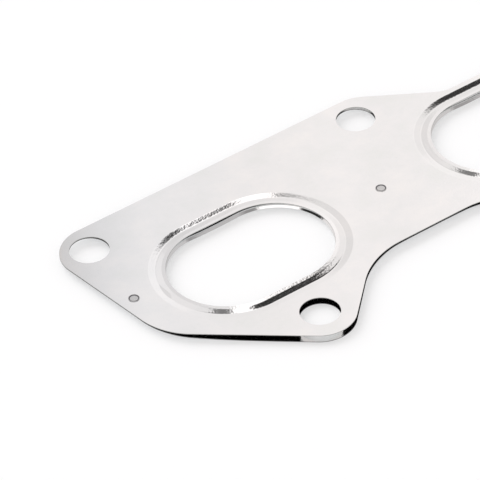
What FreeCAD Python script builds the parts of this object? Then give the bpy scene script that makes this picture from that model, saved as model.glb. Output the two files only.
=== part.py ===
import FreeCAD, Part
import math
import os

V = FreeCAD.Vector

# Exhaust manifold gasket, millimetres, +Z up. Plan values are first written
# from the end stud hole (x along the row of ports, lobes towards -y); the
# finished pieces are then moved so that x = 0 is the symmetry plane.

sheet = 0.2                 # thickness of one layer
rivet_gap = 0.3             # space between the layers at the rivets
lower_sag = 1.45            # lower layer, drop from the rivets to a port centre

cylinder_pitch = 88.0
port_x = 32.0               # first port from the end stud hole
port_y = -28.5
port_half_straight = 7.15
port_r = 16.6

lip_rise = 0.12             # port edge above the sheet
bead_reach = 2.9            # port edge to the bottom of the bead
bead_width = 4.4            # port edge to the outer crease
bead_depth = 0.19
crease_margin = 0.5         # flat sheet kept round the crease before a bend
bend_run = 3.4              # length of the bends that lead up to the rivets

stud_hole_r = 5.4
lobe_x = 32.45              # lower stud hole from the end stud hole
lobe_y = -58.4
lobe_r = 9.65
top_edge_y = 8.65
end_corner_r = 10.6
end_edge_offset = 9.0
end_edge_angle = 186.7      # angles are the directions that edges face, from +x
end_bend_r = 19.5
diagonal_angle = 229.5
flank_angle = 46.0
flank_bend_r = 24.0
shoulder_offset = 9.75      # sloping edge from the stud hole it leaves
shoulder_bend_r = 9.0
notch_half = 11.72          # half the level edge between two sloping ones
notch_margin = 1.8          # edge outside the crease of the inner ports
waist_y = -49.1

rivet_shank_r = 1.15
rivet_clearance = 0.05
rivet_head_r = 1.55
rivet_head = 0.12
rivet_dish_r = 1.05
rivet_floor_r = 0.75
rivet_dish = 0.3
rivet_sides = 10            # flats that stand for the round of so small a piece
end_rivet_x = -2.0
end_rivet_y = -23.7
mid_rivet_offset = -0.9     # from the middle between two ports
mid_rivet_y = -28.3

centre_x = port_x + 1.5 * cylinder_pitch
crease_r = port_r + bead_width
panel_run = crease_r + crease_margin
rivet_z = rivet_gap / 2
blank_margin = 4.0          # sheet left outside the outline before it is cut
y_far = top_edge_y + blank_margin
y_near = lobe_y - lobe_r - blank_margin
end_x = -end_edge_offset - blank_margin
cut_reach = 4.0             # cutting blocks reach this far above and below
centre_y = (top_edge_y + lobe_y - lobe_r) / 2
base_z = rivet_z + lower_sag + lip_rise + sheet

stud_holes = [
    (0.0, 0.0),
    (cylinder_pitch, 0.0),
    (centre_x, 0.0),
    (lobe_x, lobe_y),
    (lobe_x + cylinder_pitch, lobe_y),
]
rivets = [
    (end_rivet_x, end_rivet_y),
    (port_x + cylinder_pitch / 2 + mid_rivet_offset, mid_rivet_y),
    (centre_x, mid_rivet_y),
]


def both_ends(points):
    """The points and their mirror images about the symmetry plane."""
    mirrored = [(2 * centre_x - x, y) for x, y in points if x != centre_x]
    return points + mirrored


def both_sides(shapes, x=0.0):
    """The shapes and their mirror images about an upright plane at x."""
    return shapes + [shape.mirror(V(x, 0, 0), V(1, 0, 0)) for shape in shapes]


def line_through(normal, x, y, offset=0.0):
    """An edge line: outward normal in degrees, standing off from a point."""
    a = math.radians(normal)
    n = V(math.cos(a), math.sin(a), 0)
    return n, n.x * x + n.y * y + offset


def crossing(first, second):
    (a, p), (b, q) = first, second
    d = a.x * b.y - a.y * b.x
    return V((p * b.y - q * a.y) / d, (a.x * q - b.x * p) / d, 0)


def shoulder_angle(notch_y):
    """Direction faced by the edge that runs from clear of a stud hole down to
    the end of the level edge beyond it."""
    run = (centre_x - cylinder_pitch) / 2 - notch_half
    lean = math.acos(shoulder_offset / math.hypot(run, notch_y))
    return math.degrees(math.atan2(notch_y, run) + lean)


def flip_line(line):
    n, d = line
    return V(-n.x, n.y, 0), d - 2 * n.x * centre_x


def half_outline():
    """Edge lines from the middle of the top edge round to the middle of the
    bottom edge, each with the corner radius that follows it."""
    notch_y = port_y + crease_r + notch_margin
    far = lobe_x + cylinder_pitch
    top = line_through(90, 0, top_edge_y)
    notch = line_through(90, 0, notch_y)
    waist = line_through(270, 0, waist_y)
    shoulder = shoulder_angle(notch_y)
    left_shoulder = line_through(180 - shoulder, centre_x, 0, shoulder_offset)
    right_shoulder = line_through(shoulder, cylinder_pitch, 0, shoulder_offset)
    end_edge = line_through(end_edge_angle, 0, 0, end_edge_offset)
    diagonal = line_through(diagonal_angle, lobe_x, lobe_y, lobe_r)
    lobe_flank = line_through(-flank_angle, lobe_x, lobe_y, lobe_r)
    next_flank = line_through(180 + flank_angle, far, lobe_y, lobe_r)
    last_flank = line_through(-flank_angle, far, lobe_y, lobe_r)
    return [
        (top, shoulder_bend_r),
        (left_shoulder, shoulder_bend_r),
        (notch, shoulder_bend_r),
        (right_shoulder, shoulder_bend_r),
        (top, end_corner_r),
        (end_edge, end_bend_r),
        (diagonal, lobe_r),
        (lobe_flank, flank_bend_r),
        (waist, flank_bend_r),
        (next_flank, lobe_r),
        (last_flank, flank_bend_r),
        (waist, None),
    ]


def full_outline():
    half = half_outline()
    lines = [line for line, radius in half]
    radii = [radius for line, radius in half[:-1]]
    lines += [flip_line(line) for line in reversed(lines[1:-1])]
    radii += list(reversed(radii))
    return lines, radii


def outline_face():
    lines, radii = full_outline()
    arcs = []
    for i, radius in enumerate(radii):
        corner = crossing(lines[i], lines[(i + 1) % len(lines)])
        n1 = lines[i][0]
        n2 = lines[(i + 1) % len(lines)][0]
        turn = n1.getAngle(n2)
        outside = n1.x * n2.y - n1.y * n2.x > 0
        reach = radius * math.tan(turn / 2)
        start = corner + V(n1.y, -n1.x, 0) * reach
        end = corner - V(n2.y, -n2.x, 0) * reach
        inward = -(n1 + n2) if outside else n1 + n2
        inward.normalize()
        middle = corner + inward * radius * (1 / math.cos(turn / 2) - 1)
        arcs.append((start, middle, end))
    edges = []
    for i, (start, middle, end) in enumerate(arcs):
        edges.append(Part.Arc(start, middle, end).toShape())
        following = arcs[(i + 1) % len(arcs)][0]
        edges.append(Part.makeLine(end, following))
    return Part.Face(Part.Wire(edges))


def bead_section(side):
    """The pressed bead cut across, from the port edge out to the crease;
    side is +1 for the far stretch, -1 for the near one."""
    low = [(port_r, lip_rise), (port_r + bead_reach, -bead_depth), (crease_r, 0.0)]
    high = [(r, n + sheet) for r, n in reversed(low)]
    points = [V(0, port_y + side * r, n) for r, n in low + high]
    return Part.Face(Part.makePolygon(points + points[:1]))


def plain_sheet(x1, x2, z):
    return Part.makeBox(x2 - x1, y_far - y_near, sheet, V(x1, y_near, z))


def bead_half(reach):
    """Bead round the left half of a port, and straight on by a length."""
    turn = bead_section(1).revolve(V(0, port_y, 0), V(0, 0, 1), 180)
    return [turn] + [bead_section(side).extrude(V(reach, 0, 0)) for side in (1, -1)]


def slot_half(reach):
    """Block that clears plain sheet for that half of the port and its bead."""
    disc = Part.makeCylinder(crease_r, 4 * sheet, V(0, port_y, -sheet))
    return disc.fuse(Part.makeBox(reach, 2 * crease_r, 4 * sheet, V(0, port_y - crease_r, -sheet)))


def beaded_panel():
    """Flat panel with the bead round the left half of a port, from the bend
    on its left to a little beyond the port centre."""
    reach = 1.5 * port_half_straight
    return [plain_sheet(-panel_run, reach, 0).cut(slot_half(reach))] + bead_half(reach)


def placed(shapes, x, z, degrees):
    turn = FreeCAD.Placement(V(x, 0, z), FreeCAD.Rotation(V(0, 1, 0), -degrees))
    copies = [shape.copy() for shape in shapes]
    for shape in copies:
        shape.Placement = turn.multiply(shape.Placement)
    return copies


def flank_slope(rise):
    """Slope of the panel that climbs from the rivets to a port centre."""
    half = 0.0
    for step in range(8):
        panel = 2 * panel_run / (1 + half**2)
        centre = 2 * port_half_straight / (1 - half**2)
        half = rise / (bend_run + panel + centre)
    return 2 * math.atan(half)


def bend(x, slope):
    """Plain sheet that turns up from level at x, over the bend's run."""
    section = Part.makePolygon([
        V(x, y_near, rivet_z),
        V(x, y_far, rivet_z),
        V(x, y_far, rivet_z + sheet),
        V(x, y_near, rivet_z + sheet),
        V(x, y_near, rivet_z),
    ])
    axis_point = V(x, 0, rivet_z + bend_run / math.sin(slope))
    return Part.Face(section).revolve(axis_point, V(0, -1, 0), math.degrees(slope))


def flank(rise):
    """Sheet left of a port centre, up to the flat round the rivets."""
    slope = flank_slope(rise)
    panel_z = rivet_z + rise - port_half_straight * math.tan(slope)
    foot_x = -port_half_straight - panel_run * math.cos(slope) - bend_run
    panel = placed(beaded_panel(), -port_half_straight, panel_z, math.degrees(slope))
    size = [2 * panel_run, y_far - y_near, 2 * cut_reach]
    left_of_port = Part.makeBox(*size, V(-2 * panel_run, y_near, -cut_reach))
    pieces = [piece.common(left_of_port) for piece in panel]
    return pieces + [bend(foot_x, slope)], foot_x


def trimmed(layer):
    """Cuts a layer's outline, stud holes and rivet holes."""
    blank = outline_face().extrude(V(0, 0, 2 * cut_reach))
    layer = layer.common(blank.translated(V(0, 0, -cut_reach)))
    for x, y in both_ends(stud_holes):
        layer = layer.cut(Part.makeCylinder(stud_hole_r, 2 * cut_reach, V(x, y, -cut_reach)))
    rivet_hole = prism(rivet_shank_r + rivet_clearance, -cut_reach, cut_reach)
    for x, y in both_ends(rivets):
        layer = layer.cut(rivet_hole.translated(V(x, y, 0)))
    return layer


def ports():
    return [V(port_x + number * cylinder_pitch, 0, 0) for number in range(4)]


def flat_layer():
    """A layer that is level but for its beads, above the middle plane."""
    layer = trimmed(plain_sheet(end_x, 2 * centre_x - end_x, rivet_z))
    beads = []
    for port in ports():
        place = port + V(-port_half_straight, 0, rivet_z)
        for block in both_sides([slot_half(port_half_straight).translated(place)], port.x):
            layer = layer.cut(block)
        halves = [piece.translated(place) for piece in bead_half(port_half_straight)]
        beads += both_sides(halves, port.x)
    return layer.multiFuse(beads).removeSplitter()


def bowed_layer(rise):
    """A layer above the middle plane that bows away from it round each port."""
    left, foot_x = flank(rise)
    field = both_sides(left)
    pieces = []
    edge = end_x
    for port in ports():
        pieces += [piece.translated(port) for piece in field]
        pieces.append(plain_sheet(edge, port.x + foot_x, rivet_z))
        edge = port.x - foot_x
    pieces.append(plain_sheet(edge, 2 * centre_x - end_x, rivet_z))
    return trimmed(pieces[0].multiFuse(pieces[1:])).removeSplitter()


def sides_at(radius, z):
    """Closed line of equal sides round the z axis, for rivets and their holes."""
    angles = [2 * math.pi * i / rivet_sides for i in range(rivet_sides + 1)]
    return Part.makePolygon([V(radius * math.cos(a), radius * math.sin(a), z) for a in angles])


def prism(radius, z1, z2):
    return Part.Face(sides_at(radius, z1)).extrude(V(0, 0, z2 - z1))


def rivet():
    """Short rivet with a plain head below and a dished one above."""
    seat = rivet_z + sheet
    top = seat + rivet_head
    dish = Part.makeLoft([sides_at(rivet_floor_r, top - rivet_dish), sides_at(rivet_dish_r, top)], True)
    heads = [prism(rivet_head_r, -top, -seat), prism(rivet_head_r, seat, top)]
    return prism(rivet_shank_r, -seat, seat).multiFuse(heads).cut(dish).removeSplitter()


def export(name, shape):
    shape = shape.translated(V(-centre_x, -centre_y, base_z))
    shape.exportStep("parts/" + name + ".step")
    box = shape.BoundBox
    print(name, shape.isValid(), len(shape.Solids), len(shape.Faces), round(shape.Volume, 2),
          [round(v, 3) for v in (box.XMin, box.XMax, box.YMin, box.YMax, box.ZMin, box.ZMax)])


os.makedirs("parts", exist_ok=True)
export("top_layer", flat_layer())
export("bottom_layer", bowed_layer(lower_sag).mirror(V(0, 0, 0), V(0, 0, 1)))
export("rivets", Part.makeCompound([rivet().translated(V(x, y, 0)) for x, y in both_ends(rivets)]))
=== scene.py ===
import bpy
import bmesh
import math
from mathutils import Matrix, Vector


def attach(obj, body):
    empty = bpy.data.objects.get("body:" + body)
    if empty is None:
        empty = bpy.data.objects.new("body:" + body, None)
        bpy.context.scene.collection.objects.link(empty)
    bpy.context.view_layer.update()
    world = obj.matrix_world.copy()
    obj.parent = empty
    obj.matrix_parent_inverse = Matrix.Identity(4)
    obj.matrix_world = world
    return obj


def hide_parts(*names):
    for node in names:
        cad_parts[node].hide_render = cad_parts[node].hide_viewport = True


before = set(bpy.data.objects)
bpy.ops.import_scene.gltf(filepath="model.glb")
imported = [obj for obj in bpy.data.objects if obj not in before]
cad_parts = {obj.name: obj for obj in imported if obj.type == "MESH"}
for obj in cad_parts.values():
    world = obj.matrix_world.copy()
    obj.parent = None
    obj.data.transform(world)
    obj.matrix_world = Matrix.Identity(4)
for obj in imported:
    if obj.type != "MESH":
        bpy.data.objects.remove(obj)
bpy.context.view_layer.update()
mm = 0.001
weld = 0.002    # mm, points closer than this are one
up = Vector((0, 0, 1))
alongRow = Vector((1, 0, 0))
acrossRow = Vector((0, 1, 0))

# Plan values in mm from the middle of the gasket, with x along the row of ports.
plan = {
    "pitch": 88.0,
    "portY": 1.2,
    "portHalfStraight": 7.15,
    "portRadius": 16.6,
    "topStudY": 29.7,
    "topStudX": [0.0, 76.0, 164.0],
    "lowStudY": -28.7,
    "lowStudX": [43.55, 131.55],
    "studRadius": 5.4,
    "studSteps": 96,
    "rivets": [(0.0, 1.4), (88.9, 1.4), (166.0, 6.0)],
    "middleZ": 1.92,            # plane halfway between the layers
}
portCentres = [plan["pitch"] * (i - 1.5) for i in range(4)]


def bothEnds(places):
    return places + [(-x, y) for x, y in places if x > 0]


def onlyVerts(geom):
    return [g for g in geom if isinstance(g, bmesh.types.BMVert)]


def onlyEdges(geom):
    return [g for g in geom if isinstance(g, bmesh.types.BMEdge)]


def vertsOf(edges):
    return list({v for e in edges for v in e.verts})


def drawPath(bm, corners, axis, arcStep):
    # straight runs, with a tangent arc spun in at each corner
    last = None
    for i, (point, radius) in enumerate(corners):
        point = Vector(point)
        if i in (0, len(corners) - 1):
            ends = [bm.verts.new(point)] * 2
        else:
            before = (point - Vector(corners[i - 1][0])).normalized()
            after = (Vector(corners[i + 1][0]) - point).normalized()
            angle = before.angle(after)
            side = 1 if before.cross(after).dot(axis) > 0 else -1
            start = bm.verts.new(point - before * radius * math.tan(angle / 2))
            centre = start.co + axis.cross(before) * side * radius
            steps = max(2, round(radius * angle / arcStep))
            spun = bmesh.ops.spin(bm, geom=[start], cent=centre, axis=axis, angle=side * angle, steps=steps)
            ends = [start, onlyVerts(spun["geom_last"])[0]]
        if last:
            bm.edges.new((last, ends[0]))
        last = ends[1]


def edgeLine(facing, x, y, offset=0.0):
    # a straight edge that faces a direction in degrees and stands off from a point
    normal = Vector((math.cos(math.radians(facing)), math.sin(math.radians(facing)), 0))
    return normal, normal.dot(Vector((x, y, 0))) + offset


def meeting(one, other):
    # where two edge lines cross
    (a, p), (b, q) = one, other
    d = a.x * b.y - a.y * b.x
    return Vector(((p * b.y - q * a.y) / d, (a.x * q - b.x * p) / d, 0))


outline = {
    "topMargin": 8.649,         # edge above the row of studs
    "endCornerRadius": 10.6,
    "endMargin": 8.995,
    "endFacing": 186.7,         # degrees, the way that an edge faces
    "endBendRadius": 19.5,
    "diagonalFacing": 229.5,
    "lobeRadius": 9.645,
    "flankFacing": 46.0,
    "flankBendRadius": 24.0,
    "shoulderMargin": 9.75,
    "shoulderFacing": 56.5,
    "shoulderBendRadius": 9.0,
    "notchY": 24.0,             # level edge behind an inner port
    "waistY": -19.4,            # level edge between two lobes
    "arcStep": 0.45,
}


def halfOutline():
    # corners of the left half, from the middle of the far edge to the near one
    o = outline
    top, low = plan["topStudY"], plan["lowStudY"]
    inner, end = -plan["topStudX"][1], -plan["topStudX"][2]
    lobeIn, lobeOut = -plan["lowStudX"][0], -plan["lowStudX"][1]
    far = edgeLine(90, 0, top, o["topMargin"])
    notch = edgeLine(90, 0, o["notchY"])
    waist = edgeLine(270, 0, o["waistY"])
    lines = [
        (far, o["shoulderBendRadius"]),
        (edgeLine(180 - o["shoulderFacing"], 0, top, o["shoulderMargin"]), o["shoulderBendRadius"]),
        (notch, o["shoulderBendRadius"]),
        (edgeLine(o["shoulderFacing"], inner, top, o["shoulderMargin"]), o["shoulderBendRadius"]),
        (far, o["endCornerRadius"]),
        (edgeLine(o["endFacing"], end, top, o["endMargin"]), o["endBendRadius"]),
        (edgeLine(o["diagonalFacing"], lobeOut, low, o["lobeRadius"]), o["lobeRadius"]),
        (edgeLine(-o["flankFacing"], lobeOut, low, o["lobeRadius"]), o["flankBendRadius"]),
        (waist, o["flankBendRadius"]),
        (edgeLine(180 + o["flankFacing"], lobeIn, low, o["lobeRadius"]), o["lobeRadius"]),
        (edgeLine(-o["flankFacing"], lobeIn, low, o["lobeRadius"]), o["flankBendRadius"]),
        (waist, 0),
    ]
    corners = [(meeting(a, b), radius) for (a, radius), (b, _) in zip(lines, lines[1:])]
    start = (Vector((0, top + o["topMargin"], 0)), 0)
    finish = (Vector((0, o["waistY"], 0)), 0)
    return [start] + corners + [finish]


layer = {
    "thickness": 0.2,
    "rivetGap": 0.3,
    "margin": 0.5,              # level sheet swept with the bead, outside its crease
    "beadWidth": 4.6,
    # bends of the bead: distance from the port edge, height, bend radius
    "upperBead": [(4.6, 0.0, 0.8), (2.66, -0.246, 0.35), (1.02, 0.026, 0.8), (0.0, 0.12, 0)],
    "lowerBead": [(4.6, 0.0, 0.8), (0.85, -0.62, 0.3), (0.0, 0.02, 0)],
    "sectionStep": 0.07,
    "turnSteps": 84,
    "sag": 1.45,                # drop of the lower layer at a port centre
    "flankEnd": 28.65,          # its slope ends here, and the foot levels it out
    "endFoot": 3.3,
    "midFoot": 12.0,
    "cornerSag": 1.55,          # drop in front of the end rivets
    "cornerReach": 35.5,
    "cornerFoot": 33.0,
    "cornerFrom": (2.0, -12.0),     # y where the corner's drop begins and is full
    "pinch": 0.25,              # the layers close up round the end rivets
    "pinchFrom": (148.0, 162.0),
    "archStep": 0.9,            # cuts across the lower layer, where it curves
    "footCuts": 10,
    "endStep": 0.55,
    "cornerStep": 1.5,
}


def sweepBead(bm, centre, bends):
    # carries the section of a bead round a port: two straights and two half turns
    half, r, y = (plan[k] for k in ("portHalfStraight", "portRadius", "portY"))
    known = set(bm.edges)
    section = [(Vector((0, r + y + layer["beadWidth"] + layer["margin"], 0)), 0)]
    section += [(Vector((0, r + y + d, z)), radius) for d, z, radius in bends]
    drawPath(bm, section, alongRow, layer["sectionStep"])
    runs = [e for e in bm.edges if e not in known and e.calc_length() > 0.5]
    bmesh.ops.subdivide_edges(bm, edges=runs, cuts=3)    # keeps the slopes flat when shaded
    edges = [e for e in bm.edges if e not in known]
    bmesh.ops.translate(bm, verts=vertsOf(edges), vec=(centre + half, 0, 0))
    for side in (1, -1):
        moved = bmesh.ops.extrude_edge_only(bm, edges=edges)["geom"]
        verts, edges = onlyVerts(moved), onlyEdges(moved)
        bmesh.ops.translate(bm, verts=verts, vec=(-2 * half * side, 0, 0))
        pivot = (centre - half * side, y, 0)
        steps = layer["turnSteps"]
        spun = bmesh.ops.spin(bm, geom=edges + verts, cent=pivot, axis=up, angle=math.pi, steps=steps)
        edges = onlyEdges(spun["geom_last"])


def onSlot(point, radius):
    # whether a point lies at this distance from a port's centre line
    half = plan["portHalfStraight"]
    for centre in portCentres:
        along = max(-half, min(half, point.x - centre))
        gap = math.hypot(point.x - centre - along, point.y - plan["portY"])
        if abs(gap - radius) < 0.01:
            return True
    return False


def addHoles(bm):
    studs = bothEnds([(x, plan["topStudY"]) for x in plan["topStudX"]])
    studs += bothEnds([(x, plan["lowStudY"]) for x in plan["lowStudX"]])
    holes = [(place, plan["studRadius"], plan["studSteps"]) for place in studs]
    holes += [(place, rivet["holeRadius"], rivet["holeSteps"]) for place in bothEnds(plan["rivets"])]
    for (x, y), radius, steps in holes:
        bmesh.ops.create_circle(bm, segments=steps, radius=radius, matrix=Matrix.Translation((x, y, 0)))


def flatSheet(bends):
    # face of a layer before it is bowed: the four beads, then the plate filled in round them
    bm = bmesh.new()
    for centre in portCentres:
        sweepBead(bm, centre, bends)
    bmesh.ops.remove_doubles(bm, verts=bm.verts, dist=weld)
    rim = plan["portRadius"] + layer["beadWidth"] + layer["margin"]
    creases = [e for e in bm.edges if e.is_boundary and all(onSlot(v.co, rim) for v in e.verts)]
    known = set(bm.edges)
    drawPath(bm, halfOutline(), up, outline["arcStep"])
    half = [e for e in bm.edges if e not in known]
    bmesh.ops.mirror(bm, geom=half + vertsOf(half), matrix=Matrix(), merge_dist=weld, axis="X")
    addHoles(bm)
    loose = [e for e in bm.edges if e.is_wire] + creases
    bmesh.ops.triangle_fill(bm, edges=loose, use_beauty=True, use_dissolve=False, normal=up)
    bmesh.ops.recalc_face_normals(bm, faces=bm.faces)
    if sum(f.normal.z for f in bm.faces) < 0:
        bmesh.ops.reverse_faces(bm, faces=bm.faces)
    return bm


def ease(value, start, end):
    # smooth step from 0 to 1
    share = min(1.0, max(0.0, (value - start) / (end - start)))
    return share * share * (3 - 2 * share)


def sagAt(x, y):
    # drop of the lower layer: arched at a port, straight beside it, level at the rivets
    p = layer
    centre = min(portCentres, key=lambda c: abs(x - c))
    outward = (x - centre) * centre > 0 and abs(centre) > plan["pitch"]
    foot = p["endFoot"] if outward else p["midFoot"]
    arch, start = plan["portHalfStraight"], p["flankEnd"]
    slope = p["sag"] / (start + foot / 2 - arch / 2)
    u = abs(x - centre)
    if u < arch:
        drop = p["sag"] - slope * u * u / (2 * arch)
    elif u < start:
        drop = p["sag"] - slope * (u - arch / 2)
    else:
        drop = slope * max(0.0, start + foot - u) ** 2 / (2 * foot)
    share = ease(y, *p["cornerFrom"])
    drop -= p["pinch"] * ease(abs(x), *p["pinchFrom"])
    if not outward:
        return drop + share * (p["cornerSag"] - p["sag"]) * max(0.0, 1 - (u / start) ** 2)
    bow = min(u, p["cornerFoot"])
    corner = p["cornerSag"] * (1 - (bow / p["cornerReach"]) ** 4)
    if u > bow:    # levels out beyond the rivet
        steep = 4 * p["cornerSag"] * bow ** 3 / p["cornerReach"] ** 4
        run = 2 * corner / steep
        corner *= max(0.0, 1 - (u - bow) / run) ** 2
    return drop + share * (corner - drop)


def sliceAcross(bm, places, axis):
    for place in places:
        geom = bm.verts[:] + bm.edges[:] + bm.faces[:]
        bmesh.ops.bisect_plane(bm, geom=geom, plane_co=axis * place, plane_no=axis, dist=weld / 4)


def bendPlaces():
    # x values where the lower layer curves, so it needs cuts there
    p = layer
    places = []
    for centre in portCentres:
        steps = [i * p["archStep"] for i in range(-8, 9)]
        foot = [p["flankEnd"] + i * p["midFoot"] / p["footCuts"] for i in range(p["footCuts"] + 1)]
        places += [centre + s for s in steps + foot + [-f for f in foot]]
    edge = portCentres[-1] + p["flankEnd"]
    fine = [edge + p["endStep"] * i for i in range(-30, 14)]    # the closely bowed ends
    places += fine + [-x for x in fine]
    return sorted(set(round(x, 3) for x in places))


def thicken(bm, name):
    bmesh.ops.solidify(bm, geom=bm.faces[:], thickness=layer["thickness"])
    bmesh.ops.recalc_face_normals(bm, faces=bm.faces)
    for f in bm.faces:
        f.material_index = int(abs(f.normal.z) < 0.5)    # the sheared edges
    report(bm, name)


def report(bm, name):
    loose = sum(not e.is_manifold for e in bm.edges)
    print(name, "triangles", sum(len(f.verts) - 2 for f in bm.faces), "open edges", loose)


def makePiece(bm, name, node, sharpAngle, materials):
    for e in bm.edges:
        e.smooth = e.calc_face_angle(0.0) < math.radians(sharpAngle)
    for f in bm.faces:
        f.smooth = True
    bmesh.ops.scale(bm, verts=bm.verts, vec=(mm, mm, mm))
    mesh = bpy.data.meshes.new(name)
    bm.to_mesh(mesh)
    bm.free()
    for material in materials:
        mesh.materials.append(material)
    piece = bpy.data.objects.new(name, mesh)
    bpy.context.scene.collection.objects.link(piece)
    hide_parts(node)
    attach(piece, "root")


def buildLayers():
    seat = layer["rivetGap"] / 2 + layer["thickness"]
    upper = flatSheet(layer["upperBead"])
    thicken(upper, "upper layer")
    bmesh.ops.translate(upper, verts=upper.verts, vec=(0, 0, plan["middleZ"] + seat))
    makePiece(upper, "upperSheet", "top_layer", 25, [
        rolledStainless("bright rolled stainless steel", steel["colour"], steel["roughness"]),
        shearedSteel("sheared steel edge", steel["litUpperEdge"]),
    ])
    lower = flatSheet(layer["lowerBead"])
    sliceAcross(lower, bendPlaces(), alongRow)
    sliceAcross(lower, [layer["cornerStep"] * i for i in range(-9, 2)], acrossRow)
    for v in lower.verts:
        v.co.z += sagAt(v.co.x, v.co.y)
    thicken(lower, "lower layer")
    bmesh.ops.scale(lower, verts=lower.verts, vec=(1, 1, -1))    # turned over
    bmesh.ops.translate(lower, verts=lower.verts, vec=(0, 0, plan["middleZ"] - seat))
    bmesh.ops.recalc_face_normals(lower, faces=lower.faces)
    # the lower sheet's cut edges are painted darker, as shade under the upper sheet
    makePiece(lower, "lowerSheet", "bottom_layer", 25, [
        rolledStainless("rolled stainless steel, inner layer", steel["colour"], steel["roughness"]),
        shearedSteel("sheared steel edge, inner layer", steel["shadedLowerEdge"]),
    ])


rivet = {
    "holeRadius": 1.2,
    "holeSteps": 24,
    "shankRadius": 1.15,
    "headRadius": 1.52,
    "headHeight": 0.115,
    "grooveRadius": 1.4,        # pressed groove inside a thin raised rim
    "grooveEnd": 1.1,
    "grooveDepth": 0.115,
    "dimpleRadius": 0.94,
    "dimpleDepth": 0.17,
    "crown": 0.05,              # the middle stands up a little
    "arcStep": 0.03,
    "turnSteps": 48,
    "colour": "CFCFCF",
    "roughness": 0.3,
    # painted shade: a darker steel for the groove, in place of the shade that falls in it
    "grooveShadeColour": "737276",
}


def oneRivet():
    p = rivet
    seat = layer["rivetGap"] / 2 + layer["thickness"]
    top = seat + p["headHeight"]
    points = [    # radius, height, bend radius
        (0.0, -top, 0),
        (p["headRadius"], -top, 0.05),
        (p["headRadius"], -seat, 0.02),
        (p["shankRadius"], -seat, 0.02),
        (p["shankRadius"], seat, 0.02),
        (p["headRadius"], seat, 0.02),
        (p["headRadius"], top, 0.03),
        (p["grooveRadius"], top, 0.02),
        (p["grooveEnd"], top - p["grooveDepth"], 0.02),
        (p["dimpleRadius"], top - p["dimpleDepth"], 0.04),
        (0.0, top - p["dimpleDepth"] + p["crown"], 0),
    ]
    bm = bmesh.new()
    drawPath(bm, [(Vector((x, 0, z)), r) for x, z, r in points], acrossRow, p["arcStep"])
    section = bm.verts[:] + bm.edges[:]
    bmesh.ops.spin(bm, geom=section, cent=(0, 0, 0), axis=up, angle=2 * math.pi, steps=p["turnSteps"],
                   use_merge=True)
    bmesh.ops.remove_doubles(bm, verts=bm.verts, dist=weld / 4)
    bmesh.ops.recalc_face_normals(bm, faces=bm.faces)
    # faces in the groove get the darker second material, painted shade in the recess
    for f in bm.faces:
        middle = f.calc_center_median()
        inGroove = p["dimpleRadius"] < math.hypot(middle.x, middle.y) < p["grooveRadius"]
        f.material_index = int(inGroove and seat < middle.z < top - 0.005)
    return bm


def buildRivets():
    bm = oneRivet()
    one = bm.verts[:] + bm.edges[:] + bm.faces[:]
    for x, y in bothEnds(plan["rivets"]):
        verts = onlyVerts(bmesh.ops.duplicate(bm, geom=one)["geom"])
        under = [v for v in verts if v.co.z < 0]
        closing = layer["pinch"] * ease(abs(x), *layer["pinchFrom"])
        bmesh.ops.translate(bm, verts=under, vec=(0, 0, closing))
        bmesh.ops.translate(bm, verts=verts, vec=(x, y, plan["middleZ"]))
    bmesh.ops.delete(bm, geom=onlyVerts(one), context="VERTS")
    report(bm, "rivets")
    makePiece(bm, "rivets", "rivets", 40, [
        rolledStainless("pressed steel rivet", rivet["colour"], rivet["roughness"]),
        # painted shade in the groove
        shearedSteel("painted shade in the rivet's groove", rivet["grooveShadeColour"]),
    ])


def linear(hexColour):
    # sRGB hex to linear
    parts = [int(hexColour[i:i + 2], 16) / 255 for i in (0, 2, 4)]
    return [c / 12.92 if c <= 0.04045 else ((c + 0.055) / 1.055) ** 2.4 for c in parts] + [1.0]


def addNode(tree, kind, values=None, links=None, **settings):
    node = tree.nodes.new(kind)
    for key, value in settings.items():
        setattr(node, key, value)
    for key, value in (values or {}).items():
        node.inputs[key].default_value = value
    for key, source in (links or {}).items():
        tree.links.new(source, node.inputs[key])
    return node


def combine(tree, operation, first, second):
    node = addNode(tree, "ShaderNodeMath", None, {0: first, 1: second}, operation=operation)
    return node.outputs[0]


def mapRange(tree, value, limits, kind="LINEAR"):
    node = addNode(tree, "ShaderNodeMapRange", limits, {"Value": value}, interpolation_type=kind)
    return node.outputs["Result"]


def rampOf(tree, share, stops):
    ramp = addNode(tree, "ShaderNodeValToRGB", None, {"Fac": share})
    elements = ramp.color_ramp.elements
    while len(elements) < len(stops):
        elements.new(0.5)
    for element, (where, colour) in zip(elements, stops):
        element.position = where
        element.color = colour
    return ramp.outputs["Color"]


def noise(tree, place, size, detail, roughness=0.5):
    values = {"Scale": 1 / (size * mm), "Detail": detail, "Roughness": roughness}
    return addNode(tree, "ShaderNodeTexNoise", values, {"Vector": place}).outputs[0]


def newMaterial(name):
    material = bpy.data.materials.new(name)
    material.use_nodes = True
    material.node_tree.nodes.clear()
    return material, material.node_tree


def metal(tree, colour, roughness, relief, depth):
    # finishes a metal: colour and relief are sockets, the relief's depth is in mm
    bump = addNode(tree, "ShaderNodeBump", {"Strength": 1.0, "Distance": depth * mm}, {"Height": relief})
    shader = addNode(tree, "ShaderNodeBsdfPrincipled", {"Metallic": 1.0, "Roughness": roughness},
                     {"Base Color": colour, "Normal": bump.outputs[0]})
    addNode(tree, "ShaderNodeOutputMaterial", None, {"Surface": shader.outputs[0]})


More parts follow.
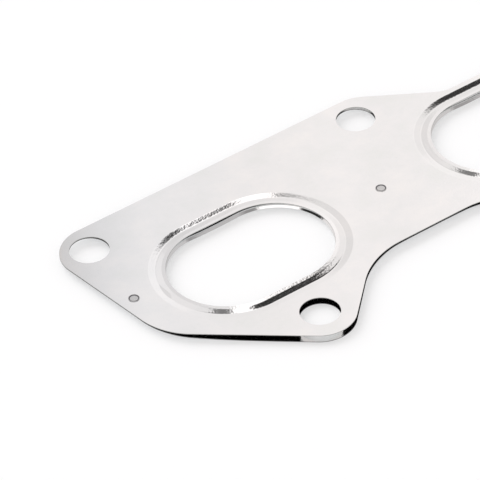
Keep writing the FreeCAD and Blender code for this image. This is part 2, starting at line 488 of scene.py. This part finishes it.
steel = {
    "colour": "EFEFEF",
    "roughness": 0.06,
    "grainSize": 0.6,           # mm, faint unevenness that breaks up sharp reflections
    "grainHeight": 0.0095,
    "blotchSize": 9.0,          # mm, barely visible handling marks and tarnish
    "blotches": [(0.3, "F8F9F8"), (0.5, "FBFBFB"), (0.7, "FFFEFD")],
    # painted shade along the sheet, darker towards the ends, in mm: place, brightness, coolness
    "paintedShadeAlong": (0.837, -0.548, 0.0),
    "paintedShadeReach": 163.0,
    "paintedShadeTones": [
        (-163, 0.66, -1.6), (-160.5, 0.71, 0.9), (-151, 0.82, 1.4), (-145, 0.88, 1.2),
        (-138, 0.93, 0.9), (-124, 0.94, 0.6), (-108, 0.965, 0.1), (-95, 0.985, 0.0),
        (-84, 1.0, 0.0), (-73, 0.98, 0.0), (-40, 0.995, 0.0), (120, 0.96, 0.3), (163, 0.88, 0.6),
    ],
    "coolGreen": 0.018,         # share added for each step of coolness
    "coolBlue": 0.035,
    # painted light and shade on the cut edges: the same steel, lighter on the upper sheet and darker on the
    # lower, shaded one
    "litUpperEdge": "B4B4B2",
    "shadedLowerEdge": "8C8C8C",
    "edgeRoughness": 0.45,
    "tearSize": 0.3,            # mm, marks that the press leaves in a cut edge
    "tearHeight": 0.01,
}


def rolledStainless(name, colour, roughness):
    # near-mirror sheet: cooler and darker towards one end, painted shade where it reflects less light
    p = steel
    material, tree = newMaterial(name)
    place = addNode(tree, "ShaderNodeTexCoord").outputs["Object"]
    dot = addNode(tree, "ShaderNodeVectorMath", {1: p["paintedShadeAlong"]}, {0: place}, operation="DOT_PRODUCT")
    reach = p["paintedShadeReach"]
    share = mapRange(tree, dot.outputs["Value"], {"From Min": -reach * mm, "From Max": reach * mm})
    red, green, blue, _ = linear(colour)
    paintedShadeTones = []
    # painted shade along the sheet, with a cooler tint where it is darker
    for x, bright, cool in p["paintedShadeTones"]:
        shade = (red, green * (1 + p["coolGreen"] * cool), blue * (1 + p["coolBlue"] * cool))
        paintedShadeTones.append(((x + reach) / (2 * reach), [bright * c for c in shade] + [1]))
    cloud = noise(tree, place, p["blotchSize"], 3.0, 0.6)
    mixed = addNode(tree, "ShaderNodeMix", {"Factor": 1.0}, None, data_type="RGBA", blend_type="MULTIPLY")
    tree.links.new(rampOf(tree, share, paintedShadeTones), mixed.inputs[6])    # the two colours of a mix
    tree.links.new(rampOf(tree, cloud, [(x, linear(c)) for x, c in p["blotches"]]), mixed.inputs[7])
    metal(tree, mixed.outputs[2], roughness, noise(tree, place, p["grainSize"], 1.0), p["grainHeight"])
    return material


def shearedSteel(name, colour):
    # cut by the press: duller than the sheet, with fine tear marks; also paints the shade in the rivet's
    # groove
    material, tree = newMaterial(name)
    place = addNode(tree, "ShaderNodeTexCoord").outputs["Object"]
    marks = noise(tree, place, steel["tearSize"], 2.0)
    base = linear(colour)
    worn = rampOf(tree, marks, [(0.35, [c * 0.85 for c in base[:3]] + [1]), (0.65, base)])
    metal(tree, worn, steel["edgeRoughness"], marks, steel["tearHeight"])
    return material


view = {
    "focalPixels": 3826.811,    # focal length in photo pixels
    "photoSize": 480,
    "elevation": 39.561,
    "azimuth": -33.232,
    "roll": -3.929,
    "distance": 1008.983,       # mm from the camera to the left stud hole, along its axis
    "hole": (-163.99, 29.64, 2.27),
    "holeX": 89.5,              # where that hole's centre falls in the photo
    "holeY": 250.0,
    "sensor": 36,
}


def placeCamera():
    v = view
    e, a, r = (math.radians(v[k]) for k in ("elevation", "azimuth", "roll"))
    back = Vector((math.sin(a) * math.cos(e), -math.cos(a) * math.cos(e), math.sin(e)))
    right = (-back).cross(up).normalized()
    high = right.cross(-back)
    turned = Matrix.Rotation(r, 3, back)
    right, high = turned @ right, turned @ high
    scale = v["distance"] / v["focalPixels"]
    offX = (v["holeX"] - v["photoSize"] / 2) * scale
    offY = (v["holeY"] - v["photoSize"] / 2) * scale
    spot = (Vector(v["hole"]) + back * v["distance"] - right * offX + high * offY) * mm
    data = bpy.data.cameras.new("photo camera")
    data.sensor_width = v["sensor"]
    data.lens = v["focalPixels"] / v["photoSize"] * v["sensor"]
    data.clip_end = 20
    camera = bpy.data.objects.new("photo camera", data)
    axes = Matrix((right, high, back)).transposed().to_4x4()
    camera.matrix_world = Matrix.Translation(spot) @ axes
    bpy.context.scene.collection.objects.link(camera)
    bpy.context.scene.camera = camera


studio = {
    "tint": (1.0, 0.965, 0.957),
    "overheadFrom": (70.0, 74.0),
    "overhead": 0.95,
    "horizonFrom": (8.0, 30.0),     # the wall is greyer near the floor
    "horizon": 0.78,
    "wallFade": 0.047,          # soft upper edge of the wall
    # brightness of the wall, and of the cards above it, by degrees right of straight ahead
    "wall": [
        (-180, 1.0), (-60, 0.95), (-18, 1.04), (-14.5, 1.04), (-12, 0.9), (-7, 0.9), (-4.5, 1.03),
        (0, 1.05), (4, 1.06), (6, 1.13), (10.5, 1.13), (13, 1.0), (18, 1.0), (60, 0.7), (110, 0.7),
        (150, 1.0), (180, 1.0),
    ],
    "cards": [
        (-180, 1.5), (-114, 1.5), (-107, 0.03), (-70, 0.03), (-56, 0.8), (-20, 1.0), (-8.5, 1.0),
        (-7.2, 0.24), (-0.8, 0.24), (0.3, 1.5), (7.0, 1.5), (7.5, 0.6), (8.0, 0.27), (8.6, 0.08),
        (10.0, 0.045), (16.7, 0.035), (17.6, 1.05), (40, 0.85), (60, 0.6), (75, 0.4), (96, 0.4),
        (98.5, 0.6), (112, 0.6), (130, 0.35), (150, 0.35), (164, 1.5), (180, 1.5),
    ],
    # and how high the wall reaches, in degrees above the floor
    "wallTop": [
        (-180, 44.5), (-112, 44.5), (-106, 40), (-66, 33), (-54, 42), (-20, 44.5), (-9, 47), (-7, 50.5),
        (-0.6, 50.5), (0.6, 46.5), (7.0, 46.5), (8.5, 45.0), (10.8, 44.0), (13, 43.0), (15.5, 42.6),
        (18, 44.0), (180, 44.5),
    ],
}


def buildStudio():
    s = studio
    world = bpy.data.worlds.new("studio")
    bpy.context.scene.world = world
    world.use_nodes = True
    tree = world.node_tree
    tree.nodes.clear()
    direction = addNode(tree, "ShaderNodeTexCoord").outputs["Generated"]
    turn = {"Axis": (0, 0, 1), "Angle": -math.radians(view["azimuth"])}
    turned = addNode(tree, "ShaderNodeVectorRotate", turn, {"Vector": direction}, rotation_type="AXIS_ANGLE")
    parts = addNode(tree, "ShaderNodeSeparateXYZ", None, {"Vector": turned.outputs["Vector"]})
    height = parts.outputs["Z"]
    around = combine(tree, "ARCTAN2", parts.outputs["X"], parts.outputs["Y"])
    share = mapRange(tree, around, {"From Min": -math.pi, "From Max": math.pi})

    def allRound(stops):
        # a ramp's colours stop at 1, so it holds half of each value
        halves = [((degrees + 180) / 360, (value / 2, value / 2, value / 2, 1)) for degrees, value in stops]
        half = rampOf(tree, share, halves)
        return addNode(tree, "ShaderNodeMath", {1: 2.0}, {0: half}, operation="MULTIPLY").outputs[0]

    def fade(value, start, end):
        return mapRange(tree, value, {"From Min": start, "From Max": end}, "SMOOTHSTEP")

    def sine(degrees):
        return math.sin(math.radians(degrees))

    wallTop = allRound([(degrees, sine(top)) for degrees, top in s["wallTop"]])
    over = combine(tree, "SUBTRACT", height, wallTop)
    rise = fade(height, *map(sine, s["horizonFrom"]))
    floorTone = mapRange(tree, rise, {"To Min": s["horizon"], "To Max": 1.0})
    lowWall = combine(tree, "MULTIPLY", allRound(s["wall"]), floorTone)
    cards = {"Factor": fade(over, 0.0, s["wallFade"]), "A": lowWall, "B": allRound(s["cards"])}
    aboveWall = addNode(tree, "ShaderNodeMix", None, cards).outputs["Result"]
    overhead = {"Factor": fade(height, *map(sine, s["overheadFrom"])), "A": aboveWall}
    power = addNode(tree, "ShaderNodeMix", {"B": s["overhead"]}, overhead).outputs["Result"]
    background = addNode(tree, "ShaderNodeBackground", {"Color": (*s["tint"], 1)}, {"Strength": power})
    addNode(tree, "ShaderNodeOutputWorld", None, {"Surface": background.outputs[0]})


table = {
    "colour": "BCBDBE",
    "roughness": 0.9,
    "glow": 0.425,              # lifts it to plain white away from the gasket
    "size": 4.0,
    "lampPower": 1.7,           # soft lamp behind the left end, for the shadow alone
    "lampSize": 50.0,           # degrees
    "lampHeight": 38.0,
    "lampTurn": -42.0,          # degrees right of straight ahead
}


def buildTable():
    bm = bmesh.new()
    bmesh.ops.create_grid(bm, x_segments=1, y_segments=1, size=table["size"])
    mesh = bpy.data.meshes.new("table")
    bm.to_mesh(mesh)
    bm.free()
    floor = bpy.data.objects.new("table", mesh)
    bpy.context.scene.collection.objects.link(floor)
    material, tree = newMaterial("matt white table top")
    shader = addNode(tree, "ShaderNodeBsdfPrincipled", {
        "Base Color": linear(table["colour"]),
        "Roughness": table["roughness"],
        "Specular IOR Level": 0.0,
        "Emission Color": (1, 1, 1, 1),
        "Emission Strength": table["glow"],
    })
    addNode(tree, "ShaderNodeOutputMaterial", None, {"Surface": shader.outputs[0]})
    mesh.materials.append(material)


def hangLamp():
    data = bpy.data.lights.new("shadow lamp", "SUN")
    data.energy = table["lampPower"]
    data.angle = math.radians(table["lampSize"])
    lamp = bpy.data.objects.new("shadow lamp", data)
    turn = math.radians(table["lampTurn"] - view["azimuth"])
    height = math.radians(table["lampHeight"])
    toward = Vector((math.sin(turn) * math.cos(height), math.cos(turn) * math.cos(height), math.sin(height)))
    lamp.rotation_euler = toward.to_track_quat("Z", "Y").to_euler()
    lamp.visible_glossy = False
    bpy.context.scene.collection.objects.link(lamp)


buildLayers()
print("layers done")
buildRivets()
print("rivets done")
buildStudio()
buildTable()
hangLamp()
print("studio, table and lamp done")
placeCamera()
bpy.context.scene.view_settings.view_transform = "Standard"
print("camera done")
